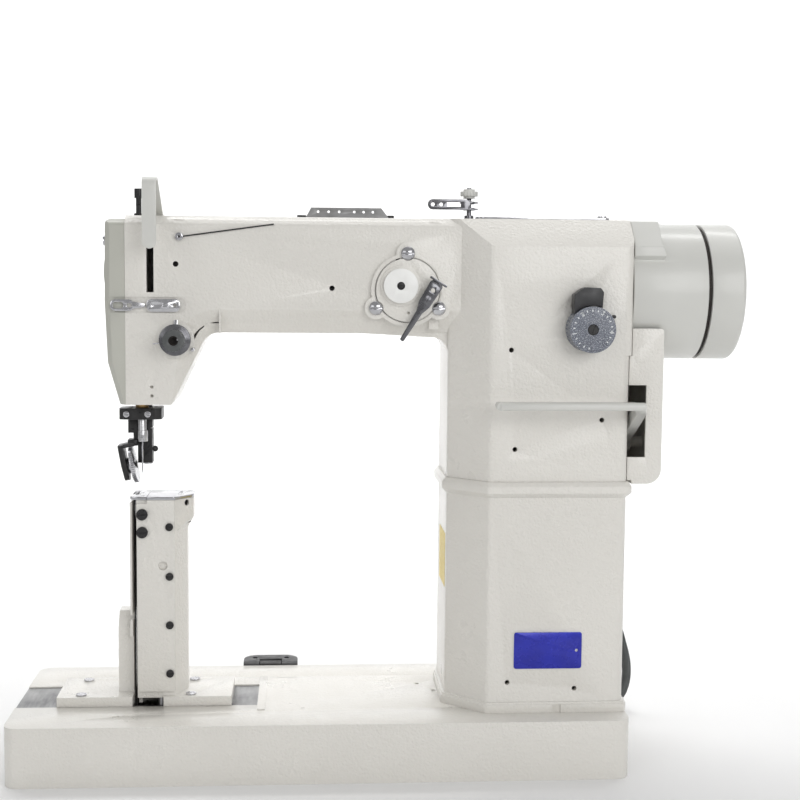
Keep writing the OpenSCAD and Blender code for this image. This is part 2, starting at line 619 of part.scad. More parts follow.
// ---- bushes that carry the shafts and bars ----
module bush_x(x0, x1, r_out, r_in, y, z) difference() {
    xbar(x0, x1, r_out, y, z);
    xbar(x0 - 1, x1 + 1, r_in + fit_gap, y, z);
}
module bush_z(z0, z1, r_out, r_in, x, y) difference() {
    zbar(z0, z1, r_out, x, y);
    zbar(z0 - 1, z1 + 1, r_in + fit_gap, x, y);
}
module shaft_bushes() color("goldenrod") {
    above_bed() {
        bush_x(-122, -114, 13, main_r, 0, main_z);
        bush_x(90, 98, 13, main_r, 0, main_z);
        bush_z(head_z - 5.4, head_z + 9, 5.5, needle_bar_r, needle_x, needle_y);
        bush_z(head_z - 2, head_z + 30, 5.5, press_r, press_x, press_y + 0.6);
        bush_z(118, 126, 9, 4, hook_x, hook_y);
        bush_z(22, 30, 9, 4, hook_x, hook_y);
    }
    for (x = shaft_web_x) bush_x(x - 4, x + 4, 9, low_r, hook_y, low_z);
    for (x = [-100, 0, 96]) bush_x(x - 4, x + 4, 5.5, feed_shaft_r, needle_y, feed_low_z);
}
module presser_guide() color(black) above_bed() difference() {
    union() {
        along_z(head_z - 15, head_z - 5.5) polygon(rounded([
            [-171.6, -14, 3], [-141, -14, 2], [-135.9, -11, 2], [-135.9, 14, 3], [-158, 14, 3], [-171.6, 4, 3]
        ]));
        for (x = [-165.4, -147.4]) head_y(x, -14, head_z - 10.5, 2.6, 1, 0.7);
    }
    zbar(head_z - 18, head_z - 4, needle_bar_r + 0.35, needle_x, needle_y);
    zbar(head_z - 18, head_z - 4, press_r + 0.35, press_x, press_y + 0.6);
}
module presser_spring() color(steel) above_bed() difference() {
    zbar(332, 400, 5, -156, press_y);
    zbar(331, 401, 3.4, -156, press_y);
}

// ---- post ----
function post_points(g) = rounded([
    [-156 + g, -28 + g, 0], [-124 - g * 0.5, -28 + g, 2], [-114.6 - g, -8, 4], [-114.6 - g, 4, 4],
    [-118 - g, 10 - g, 2], [-156 + g, 10 - g, 0]
], 4);
function post_head_points(g) = rounded([
    [-156 + g, -28 + g, 0], [-124 - g * 0.5, -28 + g, 2], [-109 - g, -13, 5], [-109 - g, 3, 5],
    [-114 - g, 10 - g, 2], [-156 + g, 10 - g, 0]
], 4);
module post_casting() color(cast) above_bed() {
    difference() {
        union() {
            // foot with the notch under the front cover
            along_z(-1.2, 8) polygon(rounded([
                [-224, -32.5, 1], [-160, -32.5, 1], [-160, -18, 0], [-134, -18, 0], [-134, -32.5, 1],
                [-76, -32.5, 1], [-76, 27.5, 1], [-224, 27.5, 1]
            ]));
            along_z(6, post_top - 3) polygon(post_points(0));
            along_z(160, post_top - 3) polygon(post_head_points(0));
            hull() {
                along_z(160, 160.5) polygon(post_head_points(0));
                along_z(150, 150.5) polygon(post_points(0));
            }
            // rib at the back left and the wall that closes the feed chamber
            along_x(-173.5, -160.5) polygon([[-15, 6], [-15, 64], [-6, 77], [10, 77], [10, 6]]);
            block([-160, 8.4, 6], [-155, 10, post_top - 3]);
        }
        difference() {
            along_z(-2, post_top + 1) polygon(post_points(3));
            block([-160, -30, 118], [-100, 12, 126]);
            block([-160, -30, 22], [-100, 12, 30]);
        }
        along_z(155, post_top + 1) polygon(post_head_points(2.6));
        zbar(-2, post_top, 9, hook_x, hook_y);
        zbar(154, post_top + 1, hook_r + 0.9, hook_x, hook_y);
        block([-160, -27, -2], [-156, 5.5, 9]);
        for (s = post_screws) zbar(-2, 10, 2.5, s.x, s.y);
        translate([-116.5, -16, 173.3]) rotate([90, 0, 45]) cylinder(h = 24, r = 2.6, center = true, $fn = 32);
        for (p = post_small) ybar(-29, -24, 1.6, p[0], p[1]);
        zbar(150, post_top - 2, 1.6, needle_x, needle_y);
    }
    // stud that the feed wheel turns on
    xbar(-160, -155.5, 2, needle_y, feed_cz);
}
module post_front_cover() color(cast) above_bed() difference() {
    along_y(-31, -28) polygon([
        [-155.6, 12], [-123.8, 12], [-123.8, post_top - 2.7], [-147, post_top - 2.7], [-147, post_top - 5.6],
        [-155.6, post_top - 5.6]
    ]);
    ybar(-32, -27, 3.7, -133.7, 121);
}
module post_side_plate() color(cast) above_bed() {
    block([-161.6, -28, 78], [-160, 10, post_top - 5]);
    xbar(-162.6, -161.6, 3, -18, 152);
    xbar(-162.6, -161.6, 3, 0, 152);
    block([-162.4, -24, 58], [-160, -16, 72]);
}
module needle_plate() color(steel) above_bed() difference() {
    along_z(post_top - 2.5, post_top) polygon(rounded([[-161.4, -29, 3], [-147.2, -31, 0], [-147.2, 10, 0], [-160, 10, 3]]));
    block([-160.2, -15, post_top - 4], [-155.4, 5, post_top + 1]);
    zbar(post_top - 4, post_top + 1, 1.2, needle_x, needle_y);
    zbar(post_top - 4, post_top + 1, 1.7, -151, -24);
}
module slide_plate() color(steel) above_bed() difference() {
    along_z(post_top - 2.5, post_top) polygon(rounded([
        [-146.8, -31, 0], [-124, -31, 3], [-108.6, -14, 7], [-108.6, 4, 6], [-114, 10, 3], [-146.8, 10, 0]
    ]));
    block([-122, -14, post_top - 0.7], [-119, 0, post_top + 1]);
}
module bobbin_case() color(steel) above_bed() difference() {
    zbar(162, 174.5, hook_r - 3, hook_x, hook_y);
    zbar(164, 175, hook_r - 4.6, hook_x, hook_y);
    zbar(160, 165, 3, hook_x, hook_y);
}
module bobbin() color(steel) above_bed() difference() {
    union() {
        zbar(164.4, 165.4, hook_r - 5, hook_x, hook_y);
        zbar(164.4, 174, 4, hook_x, hook_y);
        zbar(173, 174, hook_r - 5, hook_x, hook_y);
    }
    zbar(163, 175, 3, hook_x, hook_y);
}

// ---- drive ----
module main_shaft() color(steel) above_bed() xbar(-126.2, 350, main_r, 0, main_z);
module needle_crank() color(steel) above_bed() difference() {
    union() {
        xbar(-134, -124, 15, 0, main_z);
        along_x(-134, -126) polygon([
            [-7, main_z + throw_r + 4], [7, main_z + throw_r + 4], [12, main_z], [19, main_z - 16], [10, main_z - 23],
            [-10, main_z - 23], [-19, main_z - 16], [-12, main_z]
        ]);
        xbar(-136, -130, 4, 0, main_z + throw_r);
    }
    xbar(-126.2, -123, main_r, 0, main_z);
}
belt_x = 186;
belt_w = 14;
module pulley(x0, x1, r, y, z, teeth) difference() {
    union() {
        xbar(x0, x1, r, y, z);
        xbar(x0 - 2, x0, r + 3, y, z);
        xbar(x1, x1 + 2, r + 3, y, z);
    }
    for (i = [0 : teeth - 1]) translate([x0, y, z]) rotate([i * 360 / teeth, 0, 0])
        translate([0, -0.9, r - 1]) cube([x1 - x0, 1.8, 2]);
}
module upper_pulley() color(steel) difference() {
    pulley(belt_x - belt_w / 2 - 1, belt_x + belt_w / 2 + 1, pulley_r - 1.4, 0, bt + main_z, 24);
    xbar(belt_x - 20, belt_x + 20, main_r, 0, bt + main_z);
}
module lower_pulley() color(steel) difference() {
    pulley(belt_x - belt_w / 2 - 1, belt_x + belt_w / 2 + 1, pulley_r - 1.4, hook_y, low_z, 24);
    xbar(belt_x - 20, belt_x + 20, low_r, hook_y, low_z);
}
// Outline, across X, of a band of radius r round two points a and b
function band(r, a, b, n = 24) = let (t = atan2(b.y - a.y, b.x - a.x)) concat(
    [for (i = [0 : n]) b + r * [cos(t - 90 + 180 * i / n), sin(t - 90 + 180 * i / n)]],
    [for (i = [0 : n]) a + r * [cos(t + 90 + 180 * i / n), sin(t + 90 + 180 * i / n)]]
);
module loop(x0, x1, r_out, r_in, a, b) along_x(x0, x1) difference() {
    polygon(band(r_out, a, b));
    polygon(band(r_in, a, b));
}
module timing_belt() color(black) loop(
    belt_x - belt_w / 2, belt_x + belt_w / 2, pulley_r + 1.6, pulley_r - 0.9, [hook_y, low_z], [0, bt + main_z]
);
// Bevel gears that turn the hook shaft twice for each turn of the lower shaft
gear_r = 10;
module lower_shaft() color(steel) {
    xbar(hook_x + 9, 222, low_r, hook_y, low_z);
    translate([hook_x + 0.4, hook_y, low_z]) rotate([0, 90, 0]) {
        translate([0, 0, gear_r / 4]) cylinder(h = gear_r / 4, r1 = gear_r / 2, r2 = gear_r, $fn = 64);
        translate([0, 0, gear_r / 2]) cylinder(h = 6, r = gear_r, $fn = 64);
    }
}
module hook_shaft() color(steel) {
    translate([hook_x, hook_y, low_z + 0.4]) {
        translate([0, 0, gear_r / 2]) cylinder(h = gear_r / 2, r1 = gear_r / 4, r2 = gear_r / 2, $fn = 64);
        translate([0, 0, gear_r]) cylinder(h = 5, r = gear_r / 2, $fn = 64);
    }
    zbar(low_z + gear_r + 5, bt + 160, 4, hook_x, hook_y);
}
module rotary_hook() color(steel) above_bed() difference() {
    union() {
        zbar(156, 172, hook_r, hook_x, hook_y);
        zbar(152, 156, 7, hook_x, hook_y);
    }
    zbar(161, 173, hook_r - 2.4, hook_x, hook_y);
    zbar(151, 160, 4, hook_x, hook_y);
    // thread escape that leaves the hook's point standing
    translate([hook_x, hook_y, 167]) rotate([0, 0, 150]) block([4, 0, 0], [20, 9, 6]);
}
feed_x = -159.7;
feed_w = 3;
feed_r = 13;
feed_cz = 168;
module feed_wheel() color(steel) above_bed() difference() {
    union() {
        xbar(feed_x + 1.3, feed_x + feed_w, feed_r, needle_y, feed_cz);
        xbar(feed_x, feed_x + 1.5, 6.6, needle_y, feed_cz);
    }
    for (i = [0 : 35]) translate([feed_x - 1, needle_y, feed_cz]) rotate([i * 10, 0, 0])
        translate([0, -0.4, feed_r - 0.7]) cube([feed_w + 2, 0.8, 2]);
    xbar(feed_x - 1, feed_x + feed_w + 1, 2 + fit_gap, needle_y, feed_cz);
}
module feed_chain() color(black) loop(
    feed_x - 0.2, feed_x + 0.9, 8.2, 6.9, [needle_y, feed_low_z], [needle_y, bt + feed_cz]
);
module feed_shaft() color(steel) {
    xbar(-158.6, 110, feed_shaft_r, needle_y, feed_low_z);
    xbar(-160, -158.4, 6.4, needle_y, feed_low_z);
}

// ---- needle, take-up and presser ----
module needle_bar() color(steel) above_bed() difference() {
    union() {
        zbar(head_z - 33, 383, needle_bar_r, needle_x, needle_y);
        intersection() {
            zbar(head_z - 34.5, head_z - 25.2, 4.7, needle_x, needle_y);
            block([needle_x - 3.3, needle_y - 6, head_z - 36], [needle_x + 6, needle_y + 6, head_z - 25]);
        }
        head_y(needle_x, needle_y - 3.5, head_z - 30.4, 2, 2.6, 0.7);
        block([needle_x - 6, needle_y - 5, 300], [needle_x + 6, needle_y + 5, 312]);
        xbar(needle_x, -136.2, 3, needle_y, 306);
    }
    zbar(head_z - 38, head_z - 24, 0.8, needle_x, needle_y);
}
module needle() color(steel) above_bed() {
    zbar(needle_tip + 12, head_z - 25, 0.8, needle_x, needle_y);
    zbar(needle_tip + 3, needle_tip + 12, 0.6, needle_x, needle_y);
    translate([needle_x, needle_y, needle_tip]) cylinder(h = 3, r1 = 0.1, r2 = 0.6, $fn = 32);
}
module connecting_rod() color(steel) above_bed() difference() {
    union() {
        xbar(-140.4, -136.5, 8, 0, main_z + throw_r);
        xbar(-140.4, -136.5, 6, needle_y, 306);
        along_x(-140.4, -136.5) polygon([[-4, main_z + throw_r], [4, main_z + throw_r], [needle_y + 3.5, 306], [needle_y - 3.5, 306]]);
    }
    xbar(-141, -136, 4 + fit_gap, 0, main_z + throw_r);
    xbar(-141, -136, 3, needle_y, 306);
}
take_up_a = 30;
module take_up_lever() color(steel) above_bed() translate([0, pin_y, pin_z]) rotate([-take_up_a, 0, 0]) difference() {
    union() {
        xbar(-144.6, -141, 8, 0, 0);
        along_x(-144, -141.2) polygon(rounded([
            [0, -5, 0], [-60, -3, 1], [-86, -3.2, 2.5], [-86, 3.2, 2.5], [-60, 3, 1], [0, 5, 0]
        ]));
    }
    xbar(-146, -140, 4 + fit_gap, 0, 0);
    xbar(-146, -140, 1.8, -82, 0);
}
module presser_bar() color(steel) above_bed() {
    zbar(203.6, 322, press_r, press_x, press_y + 0.6);
    difference() {
        block([-162, press_y - 5, 318], [-145, press_y + 6, 328]);
        zbar(317, 323, press_r - 0.1, press_x, press_y + 0.6);
    }
}
roller_c = [-160.4, -4, 204];
module tilted_roller_frame() translate(roller_c) rotate([0, roller_tilt, 0]) children();
module roller_bracket() color(black) above_bed() {
    // clamp on the presser bar, the steps beside it and the shelf over the roller
    difference() {
        union() {
            block([-157.6, 1, 205], [-145.2, 14, 221.2]);
            block([-153.6, 1, 221], [-145.2, 14, 242.4]);
            block([-161.3, 4, 221], [-150, 9, 242.2]);
            block([-165.8, 1, 231], [-157.4, 9, 242.2]);
            block([-161.3, 1, 221], [-157.4, 9, 231.5]);
            block([-165.4, -6, 220.6], [-157.4, 9, 225.7]);
        }
        zbar(204, 245, press_r, press_x, press_y + 0.6);
        block([-147, 0, 234.4], [-144, 15, 235.6]);
    }
    ybar(-1, 4, 1.3, -144.5, 217.6);
    translate([-142.6, -1, 217.6]) sphere(r = 2.6, $fn = 32);
    xbar(-146, -142.6, 1.3, -1, 217.6);
    block([-146.6, -2.3, 216], [-145.2, 1.5, 219.2]);
    // outer plate, the roller's axle and its head
    tilted_roller_frame() {
        xbar(-9, 2.8, 2, 0, 0);
        xbar(2.1, 2.8, 3.2, 0, 0);
        along_x(-9.4, -5.3) polygon(rounded([
            [-10, 19.4, 3], [9, 19.4, 1], [9, 8, 6], [6, -12, 5], [-6, -12, 5], [-11, 2, 8]
        ]));
        block([-9.3, -6, 16.1], [4, 9, 19.4]);
    }
}
module presser_roller() color(steel) above_bed() tilted_roller_frame() difference() {
    union() {
        xbar(-1.7, 1.7, 15.4, 0, 0);
        xbar(-4.8, 1.7, 7, 0, 0);
    }
    xbar(-6, 3, 2 + fit_gap, 0, 0);
    for (i = [0 : 47]) rotate([i * 7.5, 0, 0]) translate([-2, -0.35, 14.9]) cube([4, 0.7, 2]);
}
module pressure_screw() color(black) above_bed() {
    zbar(402, 434, 2.3, -156, press_y);
    zbar(arm_top + 0.3, arm_top + 3, 4, -156, press_y);
    difference() {
        zbar(432, 440, 3.6, -156, press_y);
        for (i = [0 : 11]) translate([-156, press_y, 431]) rotate([0, 0, i * 30]) translate([3.3, -0.3, 0]) cube([1, 0.6, 10]);
    }
}

// ---- controls ----
module tension_knob() color(black) above_bed() difference() {
    union() {
        ybar(arm_f - 24, arm_f - 15, 9, tension_x, tension_z);
        ybar(arm_f - 15, arm_f - 11, 7, tension_x, tension_z);
    }
    ybar(arm_f - 25, arm_f - 10, 4 + fit_gap, tension_x, tension_z);
    for (i = [0 : 23]) translate([tension_x, arm_f - 15, tension_z]) rotate([0, i * 15, 0])
        translate([8.6, -10, -0.4]) cube([1, 8, 0.8]);
}
module winder_disc() color("white") above_bed() difference() {
    union() {
        ybar(arm_f - 13, arm_f - 8.4, 14.3, disc_x, disc_z);
        ybar(arm_f - 10, arm_f + 16, 3.5, disc_x, disc_z);
        ybar(arm_f + 8, arm_f + 16, 12, disc_x, disc_z);
    }
    // recess with a slotted screw head in it
    difference() {
        ybar(arm_f - 14, arm_f - 11, 3.3, disc_x, disc_z);
        head_y(disc_x, arm_f - 11, disc_z, 2.7, 1.4, 0.8);
    }
}
module winder_lever() color(steel) above_bed() {
    lever_u = unit([66 - lever_x, 314.8 - lever_z]);
    a = atan2(lever_u.y, lever_u.x);
    translate([lever_x, 0, lever_z]) rotate([0, -a, 0]) difference() {
        union() {
            along_y(arm_f - 15.2, arm_f - 13.2) polygon(rounded([
                [-8, -5.8, 3], [13, -5.2, 5], [21, -2.7, 4], [49, -1.7, 1.4], [49, 1.7, 1.4], [21, 2.7, 4], [13, 5.2, 5], [-8, 5.8, 3]
            ]));
            along_y(arm_f - 19.2, arm_f - 13.2) polygon(box_points(-9.4, -8, -7.6, 8, 0.8));
            head_y(9, arm_f - 15.2, 0, 3.2, 1.4, 0.8);
            ybar(arm_f - 16.4, arm_f - 12.2, 5, 0, 0);
        }
        ybar(arm_f - 17, arm_f - 11, 2, 0, 0);
    }
}
module winder_nut() color(plastic) above_bed() difference() {
    union() {
        zbar(arm_top + 20.5, arm_top + 24.5, 7.6, 127, 0);
        zbar(arm_top + 18.6, arm_top + 26.5, 5, 127, 0);
    }
    zbar(arm_top + 18, arm_top + 28, 2 + fit_gap, 127, 0);
    for (i = [0 : 15]) translate([127, 0, arm_top + 20]) rotate([0, 0, i * 22.5]) translate([7, -0.6, 0]) cube([1, 1.2, 6]);
}
module stitch_dial() color("slategray") above_bed() difference() {
    union() {
        ybar(col_f - 22, col_f - 1, 19, dial_x, dial_z);
        ybar(col_f - 2, col_f + wall + 20, 4, dial_x, dial_z);
        ybar(col_f - 22.6, col_f - 21, 6, dial_x, dial_z);
    }
    ybar(col_f - 24, col_f - 21.6, 4.6, dial_x, dial_z);
    for (i = [0 : 35]) translate([dial_x, col_f - 19, dial_z]) rotate([0, i * 10, 0]) translate([18.5, 2, -0.5]) cube([1, 14, 1]);
}
module push_lever() color(black) above_bed() difference() {
    union() {
        along_y(col_f - 18, col_f - 4.6) polygon(rounded([
            [205.4, 336, 0], [228.2, 336, 0], [229.5, 356, 3], [227, 359.3, 2], [214, 359.9, 8], [205.2, 353.6, 2]
        ]));
        block([210, col_f - 5, 347], [224, col_f + 1, 355]);
    }
    ybar(col_f - 30, col_f + 4, 19.6, dial_x, dial_z);
}
module reverse_lever() color(plastic) above_bed() {
    along_x(144, 256) polygon(box_points(-96, 259.8, -82, 266.3, 2.8));
    // the arm that runs back through the cover's window to the shaft
    difference() {
        union() {
            hull() {
                along_x(254.6, 262.6) polygon(box_points(-96, 259.8, -86, 266.3, 2.8));
                along_x(258.5, 266.5) polygon(box_points(-84, 255.5, -74, 264, 2.8));
            }
            hull() {
                along_x(258.5, 266.5) polygon(box_points(-84, 255.5, -74, 264, 2.8));
                xbar(260.5, 268.5, 6, 0, rev_z);
            }
            xbar(258, 271, 9, 0, rev_z);
            ybar(-95, -83, 3.2, 144, 263.05);
        }
        xbar(250, 290, 5 + fit_gap, 0, rev_z);
    }
}

// ---- handwheel ----
module handwheel() color(plastic) above_bed() difference() {
    union() {
        xbar(326.8, 352, motor_r, 0, main_z);
        translate([352, 0, main_z]) rotate([0, 90, 0]) rotate_extrude($fn = 96) intersection() {
            union() {
                square([motor_r - 4, 4]);
                translate([motor_r - 4, 0]) circle(r = 4, $fn = 48);
            }
            square([motor_r, 4]);
        }
    }
    difference() {
        xbar(325, 351, motor_r - 5, 0, main_z);
        xbar(324, 352, 15, 0, main_z);
    }
    xbar(320, 350, main_r, 0, main_z);
    xbar(354.6, 360, 22, 0, main_z);
}

// ---- cable ----
module cable_gland() color(black) difference() {
    union() {
        ybar(col_b, col_b + 6, 9, CABLE[0].x, CABLE[0].z);
        ybar(col_b - wall - 2, col_b + 1, 5.9, CABLE[0].x, CABLE[0].z);
        translate([CABLE[0].x, CABLE[0].y, CABLE[0].z]) rotate([90, 0, 0]) cylinder(h = 22, r1 = 5.4, r2 = 7.5, $fn = 48);
    }
    ybar(col_b - wall - 3, CABLE[0].y + 1, 4.6, CABLE[0].x, CABLE[0].z);
}
module motor_cable() color(black) tube(CABLE, cable_d / 2, 16, [1, 0, 0]);
module cable_coil() color(black) translate([coil_c.x, coil_c.y, 0]) rotate_extrude($fn = 96)
    translate([coil_r - (coil_turns - 0.5) * cable_d, 0]) square([coil_turns * cable_d, cable_d + 1]);
// Connector that lies on the coil
module cable_connector() color(black) translate([219.4, 205.8, 0]) rotate([0, 0, 155])
    along_z(cable_d + 1, cable_d + 15) polygon(box_points(0, -11, 42, 11, 2));

bed_casting();
lower_column();
arm_casting();
face_plate();
column_top_cover();
rear_cover();
belt_cover();
motor_housing();
take_up_guard();
thread_guides();
tension_post();
tension_discs();
bed_hinges();
top_thread_guide();
winder_plate();
chrome_screws();
black_screws();
winder_tension_guide();
shaft_bushes();
presser_guide();
presser_spring();
post_casting();
post_front_cover();
post_side_plate();
needle_plate();
timing_belt();
feed_chain();
bobbin_case();
nameplate();
cable_gland();
motor_cable();
cable_coil();
cable_connector();
handwheel();
main_shaft();
needle_crank();
upper_pulley();
lower_shaft();
lower_pulley();
hook_shaft();
rotary_hook();
bobbin();
feed_wheel();
feed_shaft();
needle_bar();
needle();
connecting_rod();
take_up_lever();
presser_bar();
roller_bracket();
presser_roller();
pressure_screw();
tension_knob();
winder_disc();
winder_lever();
winder_nut();
stitch_dial();
push_lever();
reverse_lever();
slide_plate();
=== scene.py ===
"""Looks of the post-bed sewing machine head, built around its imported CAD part. Metres, +Z up."""

import json
import math

import bmesh
import bpy
from mathutils import Matrix, Vector


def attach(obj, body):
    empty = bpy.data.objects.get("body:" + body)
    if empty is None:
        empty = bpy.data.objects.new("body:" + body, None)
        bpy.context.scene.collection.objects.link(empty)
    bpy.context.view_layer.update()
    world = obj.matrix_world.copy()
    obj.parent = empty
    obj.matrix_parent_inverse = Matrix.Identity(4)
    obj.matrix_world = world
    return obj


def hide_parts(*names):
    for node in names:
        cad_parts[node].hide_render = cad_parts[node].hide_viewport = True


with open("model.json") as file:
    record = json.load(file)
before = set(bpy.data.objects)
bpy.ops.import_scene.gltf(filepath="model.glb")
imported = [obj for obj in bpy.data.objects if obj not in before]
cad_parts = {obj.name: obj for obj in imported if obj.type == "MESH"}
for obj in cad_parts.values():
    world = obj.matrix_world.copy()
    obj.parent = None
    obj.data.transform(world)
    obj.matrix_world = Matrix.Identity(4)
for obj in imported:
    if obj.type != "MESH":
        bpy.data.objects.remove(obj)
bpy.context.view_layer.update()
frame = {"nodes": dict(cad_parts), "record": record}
NODES = frame["nodes"]
BODY_OF = {n: b for b, members in frame["record"]["behaviour"]["bodies"].items() for n in members}
SLOT_OF = {s["node"]: s["material_slot"] for s in frame["record"]["subparts"]}
MM = 0.001

# ---- camera ----
CAMERA_AT = Vector((-0.0159, -1.21, 0.418))
YAW, PITCH, ROLL = (math.radians(a) for a in (4.003, 5.086, 0.494))
LENS = 62.904


def make_camera():
    """Camera at the photograph's viewing angle."""
    forward = Vector((math.sin(YAW) * math.cos(PITCH), math.cos(YAW) * math.cos(PITCH), -math.sin(PITCH)))
    side = Vector((math.cos(YAW), -math.sin(YAW), 0))
    rise = side.cross(forward)
    right = math.cos(ROLL) * side + math.sin(ROLL) * rise
    up = -math.sin(ROLL) * side + math.cos(ROLL) * rise
    data = bpy.data.cameras.new("camera")
    data.lens = LENS
    data.sensor_width = 36.0
    data.clip_end = 50.0
    camera = bpy.data.objects.new("camera", data)
    bpy.context.scene.collection.objects.link(camera)
    turn = Matrix((right, up, -forward)).transposed().to_4x4()
    camera.matrix_world = Matrix.Translation(CAMERA_AT) @ turn
    bpy.context.scene.camera = camera


make_camera()


# ---- materials ----
def noise(tree, scale, detail=3.0, stretch=(1, 1, 1), kind="ShaderNodeTexNoise"):
    """A noise or Voronoi texture in the object's own metres."""
    coords = tree.nodes.new("ShaderNodeTexCoord")
    mapping = tree.nodes.new("ShaderNodeMapping")
    mapping.inputs["Scale"].default_value = stretch
    texture = tree.nodes.new(kind)
    texture.inputs["Scale"].default_value = scale
    texture.inputs["Detail"].default_value = detail
    tree.links.new(coords.outputs["Object"], mapping.inputs["Vector"])
    tree.links.new(mapping.outputs["Vector"], texture.inputs["Vector"])
    return texture.outputs[0]


def ranged(tree, value, low, high, start=0.3, end=0.7):
    """value from start to end becomes low to high."""
    node = tree.nodes.new("ShaderNodeMapRange")
    for name, number in (("From Min", start), ("From Max", end), ("To Min", low), ("To Max", high)):
        node.inputs[name].default_value = number
    tree.links.new(value, node.inputs["Value"])
    return node.outputs["Result"]


def mixed(tree, factor, a, b):
    """Colour between a and b. Each is a colour or an output."""
    node = tree.nodes.new("ShaderNodeMix")
    node.data_type = "RGBA"
    tree.links.new(factor, node.inputs["Factor"])
    for socket, colour in ((node.inputs[6], a), (node.inputs[7], b)):
        if isinstance(colour, bpy.types.NodeSocket):
            tree.links.new(colour, socket)
        else:
            socket.default_value = (*colour, 1)
    return node.outputs[2]


def bumped(tree, height, distance, strength=1.0, below=None):
    """Normal of a bump map, on top of another normal if there is one."""
    node = tree.nodes.new("ShaderNodeBump")
    node.inputs["Strength"].default_value = strength
    node.inputs["Distance"].default_value = distance
    tree.links.new(height, node.inputs["Height"])
    if below is not None:
        tree.links.new(below, node.inputs["Normal"])
    return node.outputs["Normal"]


def surface(name, light, dark, mottle, rough, grain, metallic=0.0, stretch=(1, 1, 1), coat=0.0, fine=None,
            specular=0.5):
    """A material whose colour, roughness and bump all vary.

    light and dark are its colours, mottle the scale of the patches between them, rough its lowest and
    highest roughness, grain the (scale, depth) of its bump, and fine a second, finer grain."""
    material = bpy.data.materials.new(name)
    material.use_nodes = True
    tree = material.node_tree
    shader = tree.nodes["Principled BSDF"]
    shader.inputs["Metallic"].default_value = metallic
    shader.inputs["Specular IOR Level"].default_value = specular
    shader.inputs["Coat Weight"].default_value = coat
    shader.inputs["Coat Roughness"].default_value = 0.12
    colour = mixed(tree, ranged(tree, noise(tree, mottle, 4.0), 0, 1), light, dark)
    tree.links.new(colour, shader.inputs["Base Color"])
    rough_value = ranged(tree, noise(tree, mottle * 2.3, 5.0, stretch), *rough)
    tree.links.new(rough_value, shader.inputs["Roughness"])
    normal = bumped(tree, noise(tree, grain[0], 2.0, stretch), grain[1])
    if fine:
        normal = bumped(tree, noise(tree, fine[0], 2.0, stretch), fine[1], below=normal)
    tree.links.new(normal, shader.inputs["Normal"])
    return material


def speckled(material, colour, scale, share):
    """Fine specks of another colour."""
    tree = material.node_tree
    shader = tree.nodes["Principled BSDF"]
    base = shader.inputs["Base Color"].links[0].from_socket
    specks = ranged(tree, noise(tree, scale, 1.0), 0, 1, 0.66 - share, 0.70 - share)
    tree.links.new(mixed(tree, specks, base, colour), shader.inputs["Base Color"])
    return material


MATERIALS = {
    "painted_casting": surface("enamel", (0.745, 0.725, 0.68), (0.715, 0.695, 0.65), 9, (0.26, 0.40),
                               (430, 0.0007), coat=0.4, fine=(1100, 0.00012)),
    "plastic_cover": surface("cover_plastic", (0.62, 0.62, 0.59), (0.59, 0.59, 0.56), 14, (0.30, 0.42),
                             (900, 0.00004), coat=0.2, fine=(2600, 0.00002)),
    "bright_steel": surface("chrome", (0.60, 0.60, 0.62), (0.46, 0.46, 0.48), 60, (0.08, 0.24),
                            (420, 0.00001), metallic=1.0, fine=(2500, 0.000006)),
    "ground_steel": surface("ground_steel", (0.60, 0.60, 0.61), (0.44, 0.44, 0.45), 80, (0.24, 0.42),
                            (900, 0.00002), metallic=1.0, stretch=(1, 12, 1)),
    "black_oxide": surface("black_oxide", (0.035, 0.034, 0.034), (0.018, 0.018, 0.019), 120, (0.25, 0.45),
                           (1500, 0.00003), metallic=0.35),
    "black_plastic": surface("black_plastic", (0.03, 0.03, 0.032), (0.018, 0.018, 0.02), 90, (0.35, 0.5),
                             (1400, 0.00004)),
    "dial_grey": speckled(surface("dial_grey", (0.135, 0.148, 0.185), (0.10, 0.11, 0.14), 160, (0.35, 0.5),
                                  (1100, 0.00006)), (0.55, 0.57, 0.60), 1500, 0.08),
    "white_nylon": surface("white_nylon", (0.86, 0.86, 0.84), (0.80, 0.80, 0.78), 50, (0.28, 0.4),
                           (1200, 0.00002), coat=0.1),
    "plate_blue": surface("plate_blue", (0.012, 0.02, 0.42), (0.01, 0.014, 0.33), 60, (0.22, 0.34),
                          (1300, 0.00002), metallic=0.35, coat=0.4),
    "bush_bronze": surface("bush_bronze", (0.62, 0.42, 0.20), (0.45, 0.29, 0.13), 90, (0.3, 0.45),
                           (1200, 0.00002), metallic=1.0),
    "belt_rubber": surface("belt_rubber", (0.03, 0.03, 0.03), (0.02, 0.02, 0.02), 90, (0.55, 0.75),
                           (1500, 0.00008)),
    "cable_grey": surface("cable_grey", (0.075, 0.08, 0.08), (0.045, 0.05, 0.05), 70, (0.42, 0.6),
                          (1200, 0.00005)),
}
